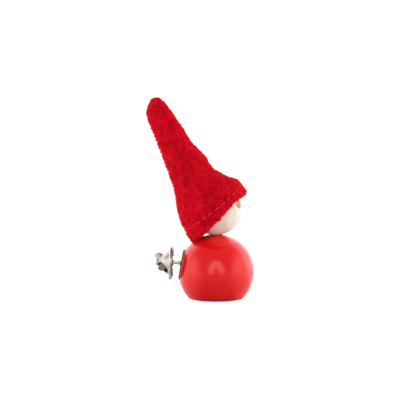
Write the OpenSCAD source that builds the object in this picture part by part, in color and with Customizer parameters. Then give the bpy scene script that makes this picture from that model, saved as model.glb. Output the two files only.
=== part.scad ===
// Tomte gnome lapel pin: a turned wooden ball body and head, a sewn felt hat,
// and a tie-tack post with a butterfly clutch behind.
// Millimetres. +X is the way the gnome faces, +Z is up, and the origin is the
// centre of the flat base.

/* [Body] */
// Diameter of the turned body ball
ball_d = 25; // [23:0.5:27]
// Diameter of the cut that the gnome stands on, before its edge is sanded
base_flat_d = 17.8; // [16:0.2:19.4]
// Radius that the edge of the base is sanded to
base_round = 0.6; // [0.3:0.1:1]
// Diameter of the small flat on top that carries the head
seat_flat_d = 3.8; // [3.6:0.1:4.6]
// Diameter of the flat behind that carries the pin
pin_flat_d = 10.6; // [10.4:0.1:11]
// How far the pin flat leans back from upright, in degrees
pin_flat_tilt = 10; // [8:0.5:12]

/* [Head] */
// Diameter of the turned head ball
head_d = 18; // [17.6:0.1:18]
// Diameter of the flat under the head
head_flat_d = 3.6; // [3.4:0.1:4.4]
// How far the head sits behind the body's middle
head_back = 0.2; // [0:0.05:0.3]
// Diameter of the dowel that joins head and body
dowel_d = 2.5; // [2:0.5:3]
// Length of the dowel
dowel_l = 12; // [8:0.5:13]

/* [Hat] */
// Thickness of the felt
felt_t = 1.1; // [0.9:0.1:1.2]
// Thickness of the sewing thread
thread_d = 0.32; // [0.24:0.02:0.4]
// Length of one stitch that shows
stitch_l = 1.7; // [1.4:0.1:1.9]
// Number of stitches round the hem
hem_stitches_n = 28; // [24:1:30]
// Number of stitches up the back seam
seam_stitches_n = 34; // [28:1:38]

/* [Pin] */
// Diameter of the pin's pad
pad_d = 10; // [9:0.5:10]
// Thickness of the pad
pad_t = 0.45; // [0.4:0.05:0.6]
// Thickness of the glue under the pad
glue_t = 0.18; // [0.1:0.02:0.25]
// Diameter of the post
post_d = 1.1; // [1:0.05:1.2]
// Length of the post, pad to point
post_l = 8; // [7.6:0.1:8.4]
// How far the post points above level, in degrees
post_tilt = 2.5; // [1.5:0.5:4]

/* [Clutch] */
// Outer diameter of the clutch's round plate
clutch_d = 11.5; // [11.3:0.1:11.7]
// Distance from the pad's centre to the clutch's face
clutch_gap = 2.7; // [2.6:0.1:3]
// Number of raised pips on the face that grips the cloth
pips_n = 8; // [6:1:10]
// How far the clutch is turned on the post, in degrees
clutch_turn = 50; // [0:5:90]
// Radius of the two round wings
wing_r = 1.55; // [1.4:0.05:1.55]
// How far the upper wing reaches out, from the clutch's face
upper_reach = 6.2; // [5.4:0.1:6.4]
// How far the lower wing reaches out, from the clutch's face
lower_reach = 4.8; // [4.7:0.1:5]

/* [Hidden] */

$fn = 64;
slack = 0.05;                       // gap round a glued or turning piece
far = 60;                           // larger than any piece

ball_r = ball_d / 2;
head_r = head_d / 2;
ball_z = sqrt(ball_r * ball_r - base_flat_d * base_flat_d / 4);
seat_z = ball_z + sqrt(ball_r * ball_r - seat_flat_d * seat_flat_d / 4);
head_z = seat_z + sqrt(head_r * head_r - head_flat_d * head_flat_d / 4);
hole_h = dowel_l / 2 + 0.5;         // depth of each dowel hole

// The pin flat, its outward normal, and the pad's place on it
pin_flat_x = sqrt(ball_r * ball_r - pin_flat_d * pin_flat_d / 4);
pad_rise = 0.4;                     // the pad is glued on this far above centre
post_rise = 0.4;                    // and the post is soldered this far above the pad's
pin_out = [-cos(pin_flat_tilt), 0, sin(pin_flat_tilt)];
pin_up = [sin(pin_flat_tilt), 0, cos(pin_flat_tilt)];
flat_at = [0, 0, ball_z] + pin_flat_x * pin_out + pad_rise * pin_up;
post_at = flat_at + (glue_t + pad_t) * pin_out + post_rise * pin_up;
post_out = [-cos(post_tilt), 0, sin(post_tilt)];

// ---------- turned wood ----------

// A cylinder that reaches away from a ball's centre and cuts a flat on it.
module flat_cutter(distance) {
    translate([0, 0, distance]) cylinder(d = far, h = far);
}

function arc(c, r, from, to, steps) =
    [for (i = [0 : steps]) let (a = from + (to - from) * i / steps) c + r * [cos(a), sin(a)]];

// Everything above the base, with the base's edge sanded round down to the cut.
module sanded_base() {
    drop = ball_z - base_round;
    inner_r = ball_r - base_round;
    flat_r = sqrt(inner_r * inner_r - drop * drop);
    edge = arc([flat_r, base_round], base_round, -90, -atan2(drop, flat_r), 4);
    beyond = edge[4] + 8 * (edge[4] - edge[3]);
    rotate_extrude($fn = 96) polygon(concat(
        [[0, 0]], edge, [beyond, [far, beyond[1]], [far, far], [0, far]]));
}

module body_ball() {
    color("#d8161c") translate([0, 0, ball_z]) difference() {
        intersection() {
            sphere(r = ball_r, $fn = 96);
            translate([0, 0, -ball_z]) sanded_base();
        }
        flat_cutter(seat_z - ball_z);
        rotate([0, pin_flat_tilt - 90, 0]) flat_cutter(pin_flat_x);
        translate([0, 0, seat_z - ball_z - hole_h])
            cylinder(d = dowel_d + slack, h = far);
    }
}

module neck_dowel() {
    color("#d9bd94") translate([0, 0, seat_z - dowel_l / 2])
        rotate_extrude() polygon([
            [0, 0], [dowel_d / 2 - 0.3, 0], [dowel_d / 2, 0.3],
            [dowel_d / 2, dowel_l - 0.3], [dowel_d / 2 - 0.3, dowel_l], [0, dowel_l],
        ]);
}

module head_ball() {
    color("#ecdcc4") translate([-head_back, 0, head_z]) difference() {
        sphere(r = head_r, $fn = 96);
        mirror([0, 0, 1]) flat_cutter(head_z - seat_z);
        translate([head_back, 0, seat_z - head_z - slack])
            cylinder(d = dowel_d + slack, h = hole_h + slack);
    }
}

// ---------- felt hat ----------

// The hat's outline seen from the side, from the brim to the blunt tip:
// back x and z, front x and z, and half the width across.
hat_stations = [
    [-8.2, 18.9, 9.8, 34.7, 11.2],
    [-10.3, 22.6, 8.5, 37.2, 11.1],
    [-12.0, 26.8, 6.7, 39.2, 10.6],
    [-12.9, 31.0, 2.6, 40.8, 8.8],
    [-13.6, 35.4, -1.2, 43.0, 7.0],
    [-15.4, 41.0, -3.8, 47.2, 5.9],
    [-17.7, 47.2, -7.8, 51.3, 5.0],
    [-20.4, 54.2, -11.5, 57.0, 4.4],
    [-22.9, 61.0, -14.3, 61.2, 4.1],
    [-22.6, 66.3, -17.3, 66.9, 3.5],
];
hat_top = len(hat_stations) - 1;
dome_at = 7.9;                      // where the blunt tip starts to close, in stations
dome_end = 8.9;                     // where it is closed
egg = 0.16;                         // how much narrower the back is than the front
sides = 40;
head_room = 0.14;                   // the felt stays this far outside the head ball

function lift(v) = [v[0], 0, v[1]];
function unit(v) = v / norm(v);

// A smooth curve through the stations: position u runs from 0 to hat_top.
function station(i) = hat_stations[max(0, min(hat_top, i))];
function smooth(a, b, c, d, t) =
    0.5 * (2 * b + (c - a) * t + (2 * a - 5 * b + 4 * c - d) * t * t
        + (3 * b - a - 3 * c + d) * t * t * t);
function hat_row(u) = let (i = min(hat_top - 1, floor(u)), t = u - i)
    smooth(station(i - 1), station(i), station(i + 1), station(i + 2), t);
function dome(u) = u <= dome_at ? 1
    : sqrt(max(0, 1 - pow((u - dome_at) / (dome_end - dome_at), 2)));

// A point of the hat's surface at position u and angle a, where 0 is the front,
// set inwards by front, side and back.
function hat_point(u, a, front = 0, side = 0, back = 0) = let (
        row = hat_row(u),
        middle = [row[0] + row[2], row[1] + row[3]] / 2,
        half = [row[2] - row[0], row[3] - row[1]] / 2,
        wall = cos(a) > 0 ? front : back,
        along = dome(u) * max(0.01, norm(half) - wall) * cos(a),
        across = dome(u) * max(0.01, row[4] - side) * sin(a) * (1 + egg * cos(a)))
    lift(middle + unit(half) * along) + [0, across, 0];

// The same, kept outside the head ball.
head_at = [-head_back, 0, head_z];
function clear_of_head(p) = let (from = p - head_at, room = head_r + head_room)
    norm(from) < room ? head_at + room * unit(from) : p;

// Rings of points joined into one closed skin.
module skin(rings) {
    n = len(rings[0]);
    last = (len(rings) - 1) * n;
    polyhedron(
        points = [for (ring = rings) for (p = ring) p],
        faces = concat(
            [for (r = [0 : len(rings) - 2]) for (k = [0 : n - 1]) let (m = (k + 1) % n)
                [r * n + k, r * n + n + k, r * n + n + m]],
            [for (r = [0 : len(rings) - 2]) for (k = [0 : n - 1]) let (m = (k + 1) % n)
                [r * n + k, r * n + n + m, r * n + m]],
            [[for (k = [0 : n - 1]) k]],
            [[for (k = [n - 1 : -1 : 0]) last + k]]));
}

function ring(u, front = 0, side = 0, back = 0) =
    [for (k = [0 : sides - 1]) hat_point(u, 360 * k / sides, front, side, back)];
function clear_ring(u, front, side, back) = [for (p = ring(u, front, side, back)) clear_of_head(p)];

hem_u = 0.98;                       // the station where the turned-up hem ends
seam_t = 0.7;                       // extra thickness of the seam allowance behind
lining_end = 8.15;                  // where the hollow inside the tip ends
rise_steps = 26;

module hat_felt() {
    color("#c80f1e") difference() {
        skin([for (i = [0 : rise_steps]) ring(dome_at * i / rise_steps),
            for (i = [1 : 6]) ring(dome_at + (dome_end - dome_at) * sin(15 * i - 0.6))]);
        hat_hollow();
    }
}

// The space inside the hat: narrower in the hem, where the felt is doubled.
module hat_hollow() {
    hem_t = 2 * felt_t;
    below = [for (p = clear_ring(0, hem_t, hem_t, hem_t + seam_t)) p + [2, 0, -2.2]];
    skin(concat(
        [below],
        [for (u = [0 : hem_u / 4 : hem_u]) clear_ring(u, hem_t, hem_t, hem_t + seam_t)],
        [for (i = [0 : 20]) clear_ring(hem_u + 0.08 + (lining_end - hem_u - 0.08) * i / 20,
            felt_t, felt_t, felt_t + seam_t)]));
}

// One thread stitch from point a to point b, tapered where it dives into the felt.
module stitch(a, b) {
    v = b - a;
    long = norm(v);
    r = thread_d / 2;
    translate(a) rotate([0, acos(v[2] / long), atan2(v[1], v[0])])
        rotate_extrude($fn = 16) polygon([
            [0, 0], [r * 0.6, 0.04], [r, 0.22], [r, long - 0.22], [r * 0.6, long - 0.04], [0, long],
        ]);
}

module hat_hem_stitches() {
    step = 360 / hem_stitches_n;
    brim_r = hat_stations[1][4];
    long = 180 / PI * stitch_l / brim_r;
    slant = 0.03;                   // a lockstitch lies a little across its own line
    color("#e8232b") for (i = [0 : hem_stitches_n - 1]) {
        a = step * (i + 0.5);
        stitch(hat_point(1 - slant, a - long / 2), hat_point(1 + slant, a + long / 2));
    }
}

// Overcast stitches: each one crosses the seam at a slant.
module hat_seam_stitches() {
    first = 1.3;
    last = 7.6;
    reach = 0.55;                   // to each side of the seam
    step = (last - first) / seam_stitches_n;
    color("#e8232b") for (i = [0 : seam_stitches_n - 1]) {
        u = first + step * i;
        swing = asin(reach / hat_row(u)[4]);
        stitch(hat_point(u, 180 - swing), hat_point(u + step * 0.5, 180 + swing));
    }
}

// ---------- tie-tack pin ----------

// Stands the children on the pin flat, their +Z pointing out of it.
module on_pin_flat(out = 0) {
    translate(flat_at + out * pin_out) rotate([0, pin_flat_tilt - 90, 0]) children();
}

// Puts the children on the post's axis, at a distance from the pad's centre.
module on_post(out = 0) {
    translate(post_at + out * post_out) rotate([0, post_tilt - 90, 0]) children();
}

// A thin layer under the pad, and the bead that was squeezed out round its edge.
module pin_glue() {
    r = pad_d / 2 + 0.02;
    bead_w = 0.2;
    bead_h = 0.34;
    color("#b5651d") on_pin_flat() rotate_extrude() polygon([
        [0, 0], [r + bead_w, 0], [r + bead_w, 0.08], [r, bead_h],
        [r, glue_t + pad_bevel], [r - pad_bevel, glue_t], [0, glue_t],
    ]);
}

pad_bevel = 0.12;
module pin_pad() {
    r = pad_d / 2;
    low = pad_bevel;
    high = pad_t - pad_bevel;
    color("#8c8680") on_pin_flat(glue_t) rotate_extrude() polygon([
        [0, 0], [r - low, 0], [r, low], [r, high], [r - low, pad_t], [0, pad_t],
    ]);
}

// The point is a cone behind two grooves that the clutch can click into.
module pin_post() {
    r = post_d / 2;
    root = -0.3;
    groove = 0.12;
    color("#c9c4bc") difference() {
        on_post() rotate_extrude($fn = 48) polygon([
            [0, root], [r, root], [r, post_l - 2.7],
            [r - groove, post_l - 2.55], [r - groove, post_l - 2.35], [r, post_l - 2.2],
            [r, post_l - 1.9], [r - groove, post_l - 1.75], [r - groove, post_l - 1.55],
            [r, post_l - 1.4], [r, post_l - 1.1], [0.12, post_l - 0.05], [0, post_l],
        ]);
        on_pin_flat(glue_t + pad_t - 5) cylinder(d = 6, h = 5);
    }
}

// The ring of solder that stands round the post's foot.
solder_r = 1.25;
solder_h = 0.8;
module pin_solder() {
    r = post_d / 2;
    color("#d5d1ca") on_pin_flat(glue_t + pad_t) difference() {
        translate([post_rise, 0, 0]) rotate_extrude($fn = 48) polygon([
            [0, 0], for (a = [0 : 15 : 90])
                [r + 0.06 + (solder_r - r - 0.06) * (1 - sin(a)), solder_h * (1 - cos(a))],
            [0, solder_h],
        ]);
        translate([post_rise, 0, 0]) rotate([0, post_tilt - pin_flat_tilt, 0]) translate([0, 0, -1])
            cylinder(d = post_d + 0.02, h = 4, $fn = 48);
    }
}

// ---------- butterfly clutch, +Z away from the gnome ----------

rim_r = 0.6;                        // the plate's rolled rim
sheet_t = 0.25;                     // sheet that the clutch is pressed from
rim_mid = clutch_d / 2 - rim_r;
hole_r = post_d / 2 + 0.15;

module in_clutch() {
    on_post(clutch_gap) rotate([0, 0, clutch_turn]) children();
}

// Face plate with a rolled rim that holds the cover, a short neck and gripping pips.
module clutch_plate() {
    neck_h = 0.75;
    pip_ring = 4.2;
    pip_r = 0.5;
    pip_h = 0.34;
    pip_start = 38;
    lip_r = rim_mid - 0.4;
    color("#cfccc6") in_clutch() {
        rotate_extrude($fn = 96) polygon(concat(
            [[hole_r, 0.12], [hole_r + 0.12, 0]],
            arc([rim_mid, rim_r], rim_r, -90, 90, 12),
            [[lip_r, 2 * rim_r], [lip_r, 2 * rim_r - sheet_t]],
            arc([rim_mid, rim_r], rim_r - sheet_t, 90, -90, 10),
            [[hole_r + sheet_t, sheet_t], [hole_r + sheet_t, neck_h], [hole_r, neck_h]]));
        for (i = [0 : pips_n - 1]) rotate([0, 0, pip_start + 360 * i / pips_n])
            translate([pip_ring, 0, 0]) rotate_extrude($fn = 32) polygon(concat(
                [[0, 0.1], [0, -pip_h]], arc([0, pip_r - pip_h], pip_r, -88, 0, 8), [[pip_r, 0.1]]));
    }
}

// The cover: a flange held in the rolled rim, a domed cone and an eyelet nose. One round
// hole is cut right through it, which leaves a window for each wing and two bridges.
flange_r = rim_mid + 0.12;
flange_z = rim_r - sheet_t / 2;
skirt_r = 4.62;                     // where the cone stands on the flange
skirt_z = flange_z + sheet_t;
nose_r = 1.2;
nose_z = 5.45;
cone_end_z = 4.7;                   // where the cone meets the nose
window_z = 3.15;
window_r = 1.7;
cone_steps = 10;
function cone_z(i) = skirt_z + (cone_end_z - skirt_z) * i / cone_steps;
function cone_r(i) = let (t = i / cone_steps)
    nose_r + (skirt_r - nose_r) * (1 - 0.78 * t - 0.22 * t * t);

module clutch_cover() {
    bore = hole_r + 0.05;
    nose_edge = 0.22;
    thick = 0.34;                   // measured level, through the sloping wall
    roof = cone_end_z - 0.3;        // underside of the nose
    color("#dedcd7") in_clutch() difference() {
        rotate_extrude($fn = 96) polygon(concat(
            [[flange_r, flange_z], [flange_r, skirt_z]],
            [for (i = [0 : cone_steps]) [cone_r(i), cone_z(i)]],
            arc([nose_r - nose_edge, nose_z - nose_edge], nose_edge, 0, 90, 4),
            [[bore + 0.1, nose_z], [bore, nose_z - 0.1], [bore, roof]],
            [for (i = [cone_steps : -1 : 1]) if (cone_z(i) < roof) [cone_r(i) - thick, cone_z(i)]],
            [[skirt_r - thick, skirt_z], [skirt_r - thick, flange_z]]));
        translate([-far / 2, 0, window_z]) rotate([0, 90, 0])
            cylinder(r = window_r, h = far, $fn = 64);
    }
}

// One wing: a jaw that grips the post, a neck that rises through the window and a
// round ear to pinch. It is drawn towards +X and its jaw has a notch for the post.
jaw_z = 1.3;
wing_t = 0.32;
wing_lean = 10;
jaw_in = 0.1;
neck_w = 2;
module wing(out, reach) {
    long = reach - jaw_z;
    difference() {
        translate([jaw_in, -neck_w / 2, jaw_z]) cube([out + wing_t - jaw_in, neck_w, wing_t]);
        translate([0, 0, jaw_z - 1]) cylinder(r = post_d / 2 + 0.03, h = 3, $fn = 48);
    }
    translate([out, 0, jaw_z]) rotate([0, wing_lean, 0]) {
        translate([0, -neck_w / 2, 0]) cube([wing_t, neck_w, long - wing_r]);
        translate([0, 0, long - wing_r]) rotate([0, 90, 0]) cylinder(r = wing_r, h = wing_t, $fn = 64);
    }
}

upper_out = 1.95;
lower_out = 1.75;

module clutch_wing_upper() {
    color("#d2cfc9") in_clutch() wing(upper_out, upper_reach);
}

module clutch_wing_lower() {
    color("#d2cfc9") in_clutch() rotate([0, 0, 180]) wing(lower_out, lower_reach);
}

body_ball();
neck_dowel();
head_ball();
hat_felt();
hat_hem_stitches();
hat_seam_stitches();
pin_glue();
pin_pad();
pin_post();
pin_solder();
clutch_plate();
clutch_cover();
clutch_wing_upper();
clutch_wing_lower();
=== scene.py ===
import math
import random

import bpy
from mathutils import Matrix, Vector, noise


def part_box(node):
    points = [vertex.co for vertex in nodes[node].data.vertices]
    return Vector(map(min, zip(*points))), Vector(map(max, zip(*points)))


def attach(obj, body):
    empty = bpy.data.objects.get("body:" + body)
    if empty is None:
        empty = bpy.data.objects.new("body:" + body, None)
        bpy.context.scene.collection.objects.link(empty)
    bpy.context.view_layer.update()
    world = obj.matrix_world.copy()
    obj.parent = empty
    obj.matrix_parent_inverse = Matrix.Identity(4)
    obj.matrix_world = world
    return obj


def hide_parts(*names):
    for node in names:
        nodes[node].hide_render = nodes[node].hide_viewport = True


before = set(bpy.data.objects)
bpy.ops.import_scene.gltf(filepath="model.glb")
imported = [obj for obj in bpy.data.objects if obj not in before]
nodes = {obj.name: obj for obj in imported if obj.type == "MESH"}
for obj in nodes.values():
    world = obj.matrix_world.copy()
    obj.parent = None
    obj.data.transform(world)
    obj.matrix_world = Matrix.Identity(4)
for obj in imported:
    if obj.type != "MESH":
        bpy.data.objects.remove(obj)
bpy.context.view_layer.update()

scene = bpy.context.scene


# ---------------------------------------------------------------------------
# Camera: level with the gnome's side, a little above it, and far off, so that
# nothing is drawn in perspective that the eye would notice.

mm = 0.001
aim = Vector((-5.3 * mm, 0, 32.53 * mm))
camera_rise = math.radians(5.9)
camera_off = 0.8
view_width = 131.6 * mm

camera = bpy.data.cameras.new("camera")
camera.sensor_width = 36
camera.lens = camera.sensor_width * camera_off / view_width
camera.clip_start = 0.05
camera.clip_end = 60
stand = bpy.data.objects.new("camera", camera)
scene.collection.objects.link(stand)
stand.location = aim + camera_off * Vector((0, -math.cos(camera_rise), math.sin(camera_rise)))
stand.rotation_euler = (math.pi / 2 - camera_rise, 0, 0)
scene.camera = stand
scene.view_settings.view_transform = "Standard"
scene.view_settings.look = "None"


# ---------------------------------------------------------------------------
# Shading: a Value is a socket of a node tree, and sums on it add Math nodes.

class Value:
    def __init__(self, tree, socket=None):
        self.tree = tree
        self.socket = socket

    def node(self, kind, settings=None, sockets=None, out=0):
        """Adds a node, sets it and then feeds its sockets with values or links."""
        made = self.tree.nodes.new(kind)
        for name, setting in (settings or {}).items():
            if name == "stops":
                fill_ramp(made.color_ramp.elements, setting)
            else:
                setattr(made, name, setting)
        for key, fed in (sockets or {}).items():
            if isinstance(fed, Value):
                self.tree.links.new(fed.socket, made.inputs[key])
            else:
                made.inputs[key].default_value = fed
        return Value(self.tree, made.outputs[out])

    def math(self, operation, *others, clamp=False):
        fed = dict(enumerate((self, *others)))
        return self.node("ShaderNodeMath", {"operation": operation, "use_clamp": clamp}, fed)

    def __add__(self, other):
        return self.math("ADD", other)

    def __sub__(self, other):
        return self.math("SUBTRACT", other)

    def __mul__(self, other):
        return self.math("MULTIPLY", other)

    def __rsub__(self, other):
        return self.node("ShaderNodeMath", {"operation": "SUBTRACT"}, {0: other, 1: self})

    __radd__ = __add__
    __rmul__ = __mul__

    def step(self, low, high):
        """0 below low and 1 above high, or the other way round, and smooth between."""
        ends = {"Value": self, "From Min": low, "From Max": high}
        return self.node("ShaderNodeMapRange", {"interpolation_type": "SMOOTHSTEP"}, ends)

    def mix(self, first, second):
        """The first colour where this is 0, and the second where it is 1."""
        return self.node("ShaderNodeMix", {"data_type": "RGBA"}, {0: self, 6: first, 7: second}, 2)

    def moved(self, **sockets):
        return self.node("ShaderNodeMapping", None, {"Vector": self, **sockets})

    def noise(self, scale, detail=3.0, rough=0.5):
        grain = {"Vector": self, "Scale": scale, "Detail": detail, "Roughness": rough}
        return self.node("ShaderNodeTexNoise", None, grain)

    def axes(self):
        return [self.node("ShaderNodeSeparateXYZ", None, {0: self}, i) for i in range(3)]


def fill_ramp(elements, stops):
    while len(elements) < len(stops):
        elements.new(1)
    for element, (place, colour) in zip(elements, stops):
        element.position = place
        element.color = colour


def rgb(red, green, blue):
    """A colour given as a screen shows it, 0 to 255, as light."""
    return (*(((c / 255 + 0.055) / 1.055) ** 2.4 for c in (red, green, blue)), 1)


# ---------------------------------------------------------------------------
# Studio: a white room with tall soft lights at both sides, a ring of light round
# the camera with the dark lens in its middle, and a white floor that glows a little.

room = bpy.data.worlds.new("room")
room.use_nodes = True
scene.world = room
way = Value(room.node_tree).node("ShaderNodeTexCoord")
side, depth, height = way.axes()
lopsided = side * 0.04              # the right-hand light reaches a little further round
side = side.math("ABSOLUTE")
front = 0 - depth

soft_boxes = (side + lopsided).step(0.66, 0.95)
soft_boxes = soft_boxes * (height.step(-0.2, 0.2) * 0.3 + 0.7)
soft_boxes = soft_boxes * (depth.step(0.2, -0.2) * 0.32 + 0.68)
behind = depth.step(0.1, 0.5) * height.step(0.95, 0.6)


def oval(wide, tall, below):
    """The square of the distance from an oval's middle, counted in its half axes."""
    rise = (height - 0.1 + below) * (1 / tall)
    return (side * (1 / wide)).math("POWER", 2) + rise.math("POWER", 2)


ring = oval(0.42, 0.57, 0).step(1.15, 0.75) * oval(0.19, 0.32, 0.12).step(0.7, 1.3)
ring = ring * height.step(-0.8, 0.3) * front.step(0.3, 0.5)
light = 0.47 + 1.85 * soft_boxes + 1.45 * behind + 2.6 * ring
seen = Value(room.node_tree).node("ShaderNodeLightPath")
light = light + seen * 2.0
background = room.node_tree.nodes["Background"]
room.node_tree.links.new(light.socket, background.inputs["Strength"])
background.inputs["Color"].default_value = (1, 0.995, 0.985, 1)

# The floor's glow is the lamps' light on it: none right under the gnome, more to
# both sides and behind. It lies a hair below the gnome's base.
bpy.ops.object.select_all(action="DESELECT")
bpy.ops.mesh.primitive_circle_add(vertices=96, radius=8, fill_type="NGON", location=(0, 0, -0.04 * mm))
floor = bpy.context.object
floor.name = "floor"
white = bpy.data.materials.new("white floor")
white.use_nodes = True
sheet_of_paper = white.node_tree.nodes["Principled BSDF"]
sheet_of_paper.inputs["Base Color"].default_value = (0.5, 0.5, 0.5, 1)
sheet_of_paper.inputs["Roughness"].default_value = 0.9
sheet_of_paper.inputs["Emission Color"].default_value = (1, 1, 1, 1)
seen = Value(white.node_tree).node("ShaderNodeLightPath")
place = seen.node("ShaderNodeTexCoord", out="Object")
side, depth, height = place.node("ShaderNodeVectorMath", {"operation": "NORMALIZE"}, {0: place}).axes()
far_off = place.node("ShaderNodeVectorMath", {"operation": "LENGTH"}, {0: place}, "Value")
far_off = far_off.math("DIVIDE", far_off + 40 * mm)
bounce = (side.math("ABSOLUTE").step(0.5, 0.9) * 1.3 + depth.step(0, 0.7) * 0.9) * far_off
glow = seen * 0.72 + (1 - seen) * bounce
white.node_tree.links.new(glow.socket, sheet_of_paper.inputs["Emission Strength"])
floor.data.materials.append(white)


# ---------------------------------------------------------------------------
# Body: a turned wooden ball with a flat to stand on, dipped in satin red lacquer.
# The lacquer is thick enough to hide the grain, with a faint orange peel.

def material(name, colour, rough, metal=0.0, **more):
    """A new material, its Principled shader and its Object coordinates."""
    made = bpy.data.materials.new(name)
    made.use_nodes = True
    shader = made.node_tree.nodes["Principled BSDF"]
    shader.inputs["Base Color"].default_value = colour
    shader.inputs["Roughness"].default_value = rough
    shader.inputs["Metallic"].default_value = metal
    for socket, number in more.items():
        shader.inputs[socket.replace("_", " ")].default_value = number
    place = Value(made.node_tree).node("ShaderNodeTexCoord", out="Object")
    return made, shader, place


def feed(shader, socket, value):
    value.tree.links.new(value.socket, shader.inputs[socket])


def bump(shader, height, depth, strength=1.0):
    """Raises the surface where height is 1, by depth in metres."""
    raised = {"Height": height, "Distance": depth, "Strength": strength}
    feed(shader, "Normal", height.node("ShaderNodeBump", None, raised))


def wear(piece, made):
    """Gives a piece its one material."""
    piece.data.materials.clear()
    piece.data.materials.append(made)
    for face in piece.data.polygons:
        face.material_index = 0


lacquer, shader, place = material("red lacquer", rgb(230, 18, 21), 0.17, IOR=1.4)
pooled = place.noise(160, 2)
feed(shader, "Base Color", pooled.step(0.3, 0.75).mix(rgb(226, 16, 20), rgb(233, 20, 23)))
feed(shader, "Roughness", place.noise(300, 3).step(0.2, 0.8) * 0.05 + 0.14)
bump(shader, place.noise(260, 2), 0.02 * mm, 0.2)
wear(nodes["body_ball"], lacquer)


# ---------------------------------------------------------------------------
# Head: a turned ball of pale birch under clear lacquer, its grain upright. The
# two eyes are dots of tan paint, dabbed on, with a darker edge where it dried.

head_low, head_high = (Vector(corner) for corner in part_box("head_ball"))
head_r = (head_high.x - head_low.x) / 2
head = Vector(((head_low.x + head_high.x) / 2, 0, head_high.z - head_r))
eye_out = math.radians(31)
eye_up = math.radians(11)
eye_r = 1.5 * mm
eye_flat = 1.04                     # how much wider than high the dots are

birch, shader, place = material("birch", rgb(236, 224, 209), 0.38, Subsurface_Weight=0.1)
shader.inputs["Subsurface Radius"].default_value = (1.0, 0.5, 0.3)
shader.inputs["Subsurface Scale"].default_value = 0.8 * mm
grain = place.moved(Scale=(1, 1, 0.06)).noise(900, 4, 0.6)
streak = place.moved(Scale=(1, 1, 0.03)).noise(380, 2, 0.5)
wood = grain.step(0.35, 0.75).mix(rgb(231, 219, 208), rgb(222, 205, 188))
wood = (streak.step(0.6, 0.72) * 0.5).mix(wood, rgb(212, 184, 158))
for cheek in (-1, 1):
    out = Vector((math.cos(eye_out) * math.cos(eye_up), cheek * math.sin(eye_out) * math.cos(eye_up),
                  math.sin(eye_up)))
    eye = (head + head_r * out) * Vector((1, 1, eye_flat))
    spot = place.moved(Scale=(1, 1, eye_flat))
    away = spot.node("ShaderNodeVectorMath", {"operation": "DISTANCE"}, {0: spot, 1: eye}, "Value")
    away = away + (place.noise(1400, 1) - 0.5) * 0.25 * mm
    dot = away.step(eye_r, eye_r - 0.15 * mm)
    dried = away.step(eye_r - 0.9 * mm, eye_r - 0.3 * mm)
    wood = dot.mix(wood, dried.mix(rgb(190, 126, 68), rgb(172, 90, 24)))
feed(shader, "Base Color", wood)
bump(shader, grain, 0.03 * mm, 0.35)
wear(nodes["head_ball"], birch)


# ---------------------------------------------------------------------------
# Dowel between body and head: plain wood, hidden in the two balls.

dowel, shader, place = material("dowel wood", rgb(214, 180, 134), 0.7)
grain = place.moved(Scale=(1, 1, 0.08)).noise(1200, 3)
feed(shader, "Base Color", grain.mix(rgb(196, 158, 112), rgb(226, 196, 152)))
bump(shader, grain, 0.04 * mm, 0.4)
wear(nodes["neck_dowel"], dowel)


# ---------------------------------------------------------------------------
# Hat: one sheet of red wool felt, 1.1 mm thick, rolled to a cone and sewn up
# behind. Its lower edge is turned up inside, so the brim is a soft fold with
# two layers, and the cone is glued on the head.

felt_t = 1.06 * mm
outline = [                         # from the side, in mm: back x, z, front x, z, half the width
    (-8.2, 18.9, 9.8, 34.7, 11.2),
    (-10.3, 22.6, 8.5, 37.2, 11.1),
    (-12.0, 26.8, 6.7, 39.2, 10.6),
    (-12.9, 31.0, 2.6, 40.8, 8.8),
    (-13.6, 35.4, -1.2, 43.0, 7.0),
    (-15.4, 41.0, -3.8, 47.2, 5.9),
    (-17.7, 47.2, -7.8, 51.3, 5.0),
    (-20.4, 54.2, -11.5, 57.0, 4.4),
    (-22.9, 61.0, -14.3, 61.2, 4.1),
    (-22.6, 66.3, -17.3, 66.9, 3.5),
]
tip_at, tip_end = 7.9, 8.8          # where the blunt tip begins and closes, counted in rows
fold_at = 0.31                      # where the hem's fold begins
raw_edge = 0.96                     # where the turned-up hem ends, inside
fold_round = 0.155                  # how far the fold bulges below its ends, in rows
stitch_row = 1.0
hem_stitches = 28
egg = 0.16                          # how much wider the front half is than the back half
around, along = 220, 190            # the sheet's mesh, in squares


def row(u):
    """The outline's row at u, on a smooth curve through the rows."""
    i = min(len(outline) - 2, int(u))
    a, b, c, d = (Vector(outline[max(0, min(len(outline) - 1, i + k))]) for k in (-1, 0, 1, 2))
    t = u - i
    bend = (2 * a - 5 * b + 4 * c - d) * t ** 2 + (3 * b - a - 3 * c + d) * t ** 3
    return (0.5 * (2 * b + (c - a) * t + bend)) * mm


def on_hat(u, angle, inset):
    """The hat's surface at row u and an angle from the front, set in from the outside."""
    back_x, back_z, front_x, front_z, across = row(u)
    middle = Vector((back_x + front_x, 0, back_z + front_z)) / 2
    half = Vector((front_x - back_x, 0, front_z - back_z)) / 2
    close = math.sqrt(max(0, 1 - max(0, (u - tip_at) / (tip_end - tip_at)) ** 2))
    length = close * (half.length - inset)
    width = close * (across - inset) * (1 + egg * math.cos(angle))
    return middle + half.normalized() * length * math.cos(angle) + Vector((0, width * math.sin(angle), 0))


def off_head(point, room):
    """The same point, eased out where it would be nearer the head than room."""
    out = point - head
    gap = out.length - head_r - room
    eased = (gap + math.hypot(gap, 0.25 * mm)) / 2
    return head + out.normalized() * (head_r + room + eased)


def bell(x, width):
    return math.exp(-(x / width) ** 2)


def ease(x):
    x = max(0, min(1, x))
    return x * x * (3 - 2 * x)


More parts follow.
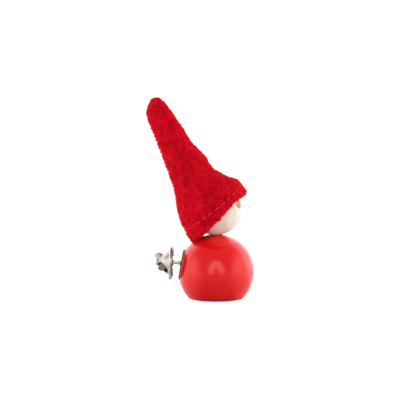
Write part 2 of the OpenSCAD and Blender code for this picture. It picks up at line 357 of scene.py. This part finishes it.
def brim_lift(angle):
    """How much higher the fold sits round the brim, in rows: it curls up beside the eye."""
    degrees = math.degrees(angle) % 360 - 360
    uneven = 0.05 * noise.noise(Vector((3 * math.cos(angle), 3 * math.sin(angle), 7)))
    return 0.38 * bell(degrees + 50, 34) - 0.26 * bell(degrees + 155, 32) + uneven


def hem_row(angle):
    """The row of the hem's stitches: higher in front, where it shows as a notch."""
    degrees = (math.degrees(angle) + 180) % 360 - 180
    return stitch_row + 0.36 * bell(degrees, 48)


def felt_at(part, angle):
    """The middle of the felt: up the inside of the hem, round its fold and up to the tip."""
    inner, outer, groove = 1.53 * felt_t, 0.5 * felt_t, 0
    hem, fold = 0.09, 0.06          # shares of the sheet's length
    low = fold_at + brim_lift(angle)
    if part < hem:
        u, inset, layers = raw_edge + (low - raw_edge) * part / hem, inner, 0.5
    elif part < hem + fold:
        turn = math.pi * (part - hem) / fold
        share = (1 - math.cos(turn)) / 2
        u, inset, layers = low - fold_round * math.sin(turn), inner + (outer - inner) * share, 0.5 + share
    else:
        u = low + (tip_end - low) * (part - hem - fold) / (1 - hem - fold)
        dive = bell(math.sin(angle * hem_stitches / 2), 0.45)
        groove = (0.42 + 0.2 * math.cos(angle) + 0.2 * dive) * mm * bell(u - hem_row(angle) - 0.03, 0.12)
        inset, layers = outer, 1.5 - ease((u - hem_row(angle)) / 0.3)
    spot = on_hat(u, angle, 0)
    wave = 0.3 * mm * noise.noise(spot / (2.4 * mm)) + 0.2 * mm * noise.noise(spot / (1.1 * mm))
    point = off_head(on_hat(u, angle, inset - wave), 0.1 * mm + felt_t * layers)
    return point - groove * (point - head).normalized()


bpy.ops.object.select_all(action="DESELECT")
bpy.ops.mesh.primitive_grid_add(x_subdivisions=around, y_subdivisions=along, size=2)
hat = bpy.context.object
hat.name = "felt_hat"
for point in hat.data.vertices:
    across_sheet, up_sheet = (point.co.x + 1) / 2, (point.co.y + 1) / 2
    point.co = felt_at(up_sheet, 2 * math.pi * across_sheet + math.pi)
bpy.ops.object.mode_set(mode="EDIT")
bpy.ops.mesh.select_all(action="SELECT")
bpy.ops.mesh.remove_doubles(threshold=0.02 * mm)
bpy.ops.mesh.normals_make_consistent(inside=False)
bpy.ops.object.mode_set(mode="OBJECT")


def harden(piece, kind, **settings):
    """Adds a modifier to a piece and applies it."""
    bpy.context.view_layer.objects.active = piece
    made = piece.modifiers.new(kind.lower(), kind)
    for name, setting in settings.items():
        setattr(made, name, setting)
    bpy.ops.object.modifier_apply(modifier=made.name)


def lumps(name, size, depth=2):
    made = bpy.data.textures.new(name, "CLOUDS")
    made.noise_scale = size
    made.noise_depth = depth
    return made


harden(hat, "SOLIDIFY", thickness=felt_t, offset=0)
harden(hat, "DISPLACE", texture=lumps("felt lumps", 0.8 * mm), strength=0.95 * mm, mid_level=0.5,
       texture_coords="LOCAL")
bpy.ops.object.select_all(action="DESELECT")
hat.select_set(True)
bpy.ops.object.shade_smooth()

felt, shader, place = material("red felt", rgb(196, 2, 26), 0.95, Subsurface_Weight=0.35,
                               Sheen_Weight=0.7, Sheen_Roughness=0.35)
shader.inputs["Sheen Tint"].default_value = rgb(255, 60, 58)
shader.inputs["Subsurface Radius"].default_value = (1, 0.12, 0.14)
shader.inputs["Subsurface Scale"].default_value = 1.6 * mm
shader.inputs["Specular IOR Level"].default_value = 0.05
cloud = place.noise(230, 3, 0.6)
matting_with_painted_shade_and_light = place.noise(620, 4, 0.62)
tangle_with_painted_light = place.moved(Rotation=(0, -0.45, 0), Scale=(1, 1, 0.4)).noise(2400, 3, 0.6)
colour = cloud.step(0.35, 0.66).mix(rgb(180, 1, 22), rgb(208, 5, 32))
# Painted shade and light: the felt is darkened where the bump below sinks and lightened where it rises,
# in patches and in streaks, over its own uneven tone.
colour = (matting_with_painted_shade_and_light.step(0.5, 0.72) * 0.6).mix(colour, rgb(226, 20, 40))
colour = (matting_with_painted_shade_and_light.step(0.5, 0.28) * 0.6).mix(colour, rgb(146, 0, 15))
colour = (tangle_with_painted_light.step(0.58, 0.8) * 0.4).mix(colour, rgb(236, 36, 46))
feed(shader, "Base Color", colour)
bump(shader, matting_with_painted_shade_and_light * 0.6 + tangle_with_painted_light * 0.4, 0.15 * mm, 0.7)
wear(hat, felt)
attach(hat, "figure")
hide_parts("hat_felt")


# ---------------------------------------------------------------------------
# Loose fibres of the felt: short tapered hairs that stand or lie all over it, and
# longer ones in ragged tufts along the fold of the brim.

fibres = 14000
brim_tufts = 40
tuft_fibres = 90
tuft_r = 0.35 * mm

dice = random.Random(11)            # the same hairs every time
spots = [face for face in hat.data.polygons if (face.center - head).length > head_r + 1.2 * mm]
points, faces = [], []


def hair(root, out, length, thick):
    """A closed hair: three-sided at its root and its middle, and a pointed end."""
    first = len(points)
    lean = out.orthogonal().normalized()
    lean.rotate(Matrix.Rotation(dice.uniform(0, 2 * math.pi), 3, out))
    way = (out + lean * dice.uniform(0.3, 1.8)).normalized()
    bent = (way + lean.cross(out) * dice.uniform(-0.7, 0.7)).normalized()
    side = way.orthogonal().normalized() * thick / 2
    for at, scale in ((root - 0.05 * mm * out, 1), (root + way * length * 0.5, 0.7)):
        for k in range(3):
            points.append(at + scale * (Matrix.Rotation(2 * math.pi * k / 3, 3, way) @ side))
    points.append(root + way * length * 0.5 + bent * length * 0.5)
    for k in range(3):
        m = (k + 1) % 3
        faces.append((first + k, first + m, first + 3 + m, first + 3 + k))
        faces.append((first + 3 + k, first + 3 + m, first + 6))
    faces.append((first + 2, first + 1, first))


below = Vector((0.66, 0, -0.75))    # square out of the hat's opening
brim_level = -21.3 * mm             # along that way, what lies beyond it is the fold
brim = [face for face in spots if face.normal.dot(below) > 0.3 and face.center.dot(below) > brim_level]
for _ in range(fibres):
    face = dice.choice(spots)
    reach = dice.uniform(0.3, 0.7) * mm
    hair(face.center.copy(), face.normal.copy(), reach, dice.uniform(0.04, 0.07) * mm)
for tuft in dice.sample(brim, brim_tufts):
    near = [face for face in brim if (face.center - tuft.center).length < tuft_r]
    for face in dice.choices(near, k=tuft_fibres):
        reach = dice.uniform(0.5, 1.0) * mm
        hair(face.center.copy(), face.normal.copy(), reach, dice.uniform(0.05, 0.08) * mm)
fuzz_mesh = bpy.data.meshes.new("felt_fibres")
fuzz_mesh.from_pydata(points, [], faces)
fuzz = bpy.data.objects.new("felt_fibres", fuzz_mesh)
scene.collection.objects.link(fuzz)
wool, shader, place = material("loose wool", rgb(226, 26, 40), 0.9)
shader.inputs["Specular IOR Level"].default_value = 0.05
feed(shader, "Base Color", place.noise(800, 1).mix(rgb(212, 10, 34), rgb(250, 44, 52)))
wear(fuzz, wool)
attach(fuzz, "figure")


# ---------------------------------------------------------------------------
# Stitches: two-ply red cotton thread. A running stitch holds the hem, and a
# whipped stitch closes the seam behind, each stitch sinking into the felt.

thread_r = 0.19 * mm


def sew(name, stitches):
    """Lays two twisted plies along each stitch, given as its two ends and the way out."""
    curve = bpy.data.curves.new(name, "CURVE")
    curve.dimensions = "3D"
    curve.bevel_depth = thread_r * 0.58
    curve.bevel_resolution = 2
    curve.use_fill_caps = True
    steps = 13                      # points along a ply
    for start, end, out in stitches:
        run = end - start
        side = run.cross(out).normalized()
        turns = run.length / (0.85 * mm)
        for ply in (0, math.pi):
            line = curve.splines.new("POLY")
            line.points.add(steps - 1)
            for k, knot in enumerate(line.points):
                t = k / (steps - 1)
                arch = 0.24 * mm - 0.7 * mm * abs(2 * t - 1) ** 4
                spin = 2 * math.pi * turns * t + ply
                ply_off = side * math.cos(spin) + out * math.sin(spin)
                knot.co = (*(start + run * t + out * arch + thread_r * 0.5 * ply_off), 1)
    made = bpy.data.objects.new(name, curve)
    scene.collection.objects.link(made)
    bpy.ops.object.select_all(action="DESELECT")
    made.select_set(True)
    bpy.context.view_layer.objects.active = made
    bpy.ops.object.convert(target="MESH")
    made = bpy.context.object
    bpy.ops.object.shade_smooth()
    return made


cotton, shader, place = material("red thread", rgb(246, 34, 42), 0.8)
shader.inputs["Specular IOR Level"].default_value = 0.05
feed(shader, "Base Color", place.noise(3000, 2).mix(rgb(246, 36, 46), rgb(255, 62, 62)))
bump(shader, place.noise(5000, 2), 0.03 * mm, 0.5)


def felt_skin(u, angle):
    """A point on the felt's outside at row u, and the way out of it."""
    layers = 2 - ease((u - hem_row(angle)) / 0.3)
    here = off_head(on_hat(u, angle, 0), 0.1 * mm + felt_t * layers)
    up = on_hat(u + 0.05, angle, 0) - on_hat(u - 0.05, angle, 0)
    round_it = on_hat(u, angle + 0.02, 0) - on_hat(u, angle - 0.02, 0)
    return here, round_it.cross(up).normalized()


hem_run = []
for i in range(hem_stitches):
    angle = 2 * math.pi * (i + 0.5) / hem_stitches
    half = 0.29 * 2 * math.pi / hem_stitches
    before, after = angle - half, angle + half
    (start, out), (end, _) = felt_skin(hem_row(before), before), felt_skin(hem_row(after), after)
    hem_run.append((start, end, out))
hem_thread = sew("hem_stitches", hem_run)
wear(hem_thread, cotton)
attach(hem_thread, "figure")
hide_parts("hat_hem_stitches")

seam_stitches = 34
seam_low, seam_high = 1.3, 7.6      # the rows where the seam's stitches begin and end
seam_reach = 0.55 * mm              # how far a stitch reaches to either side of the seam
seam_run = []
for i in range(seam_stitches):
    u = seam_low + (seam_high - seam_low) * i / seam_stitches
    swing = math.asin(seam_reach / row(u)[4])
    (start, out), (end, _) = felt_skin(u, math.pi - swing), felt_skin(u + 0.09, math.pi + swing)
    seam_run.append((start, end, out))
seam_thread = sew("seam_stitches", seam_run)
wear(seam_thread, cotton)
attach(seam_thread, "figure")
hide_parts("hat_seam_stitches")


# ---------------------------------------------------------------------------
# Pin: a round pad glued to the flat behind the body, with a pointed post
# soldered on it. The pad is dull brass-coloured plate, the post bright nickel.

def metal(name, colour, dull, rough, scale=2200):
    """Plated metal: fine scratches, dull patches where it has been handled."""
    made, shader, place = material(name, colour, rough, 1.0)
    patch = place.noise(500, 3).step(0.35, 0.75)
    scratch = place.moved(Rotation=(0.5, 0.9, 0.2), Scale=(1, 0.08, 1)).noise(scale, 2)
    feed(shader, "Base Color", patch.mix(colour, dull))
    feed(shader, "Roughness", patch * 0.1 + scratch * 0.12 + (rough - 0.06))
    bump(shader, scratch, 0.01 * mm, 0.3)
    return made


amber = material("amber glue", rgb(168, 84, 20), 0.3)[0]
wear(nodes["pin_glue"], amber)
wear(nodes["pin_pad"], metal("pad plate", rgb(96, 54, 24), rgb(62, 34, 18), 0.34))
wear(nodes["pin_post"], metal("post nickel", rgb(188, 180, 166), rgb(150, 138, 122), 0.2))
wear(nodes["pin_solder"], metal("solder", rgb(244, 242, 238), rgb(226, 222, 216), 0.5))


# ---------------------------------------------------------------------------
# Clutch: a round plate with a rolled rim and gripping pips, a domed cover held
# in the rim, and two spring wings through its windows, all nickel plated. Both
# wings are one metal: the upper has painted light, the lower painted shade.

wear(nodes["clutch_plate"], metal("plate nickel", rgb(186, 182, 175), rgb(160, 153, 144), 0.16))
wear(nodes["clutch_cover"], metal("cover nickel", rgb(180, 176, 170), rgb(156, 149, 141), 0.14))
# The upper wing's nickel is made lighter as painted light, the lower's darker as painted shade.
wear(nodes["clutch_wing_upper"], metal("upper wing nickel painted light", rgb(214, 209, 200), rgb(186, 180, 170), 0.3))
wear(nodes["clutch_wing_lower"], metal("lower wing nickel painted shade", rgb(140, 135, 130), rgb(112, 107, 102), 0.3))
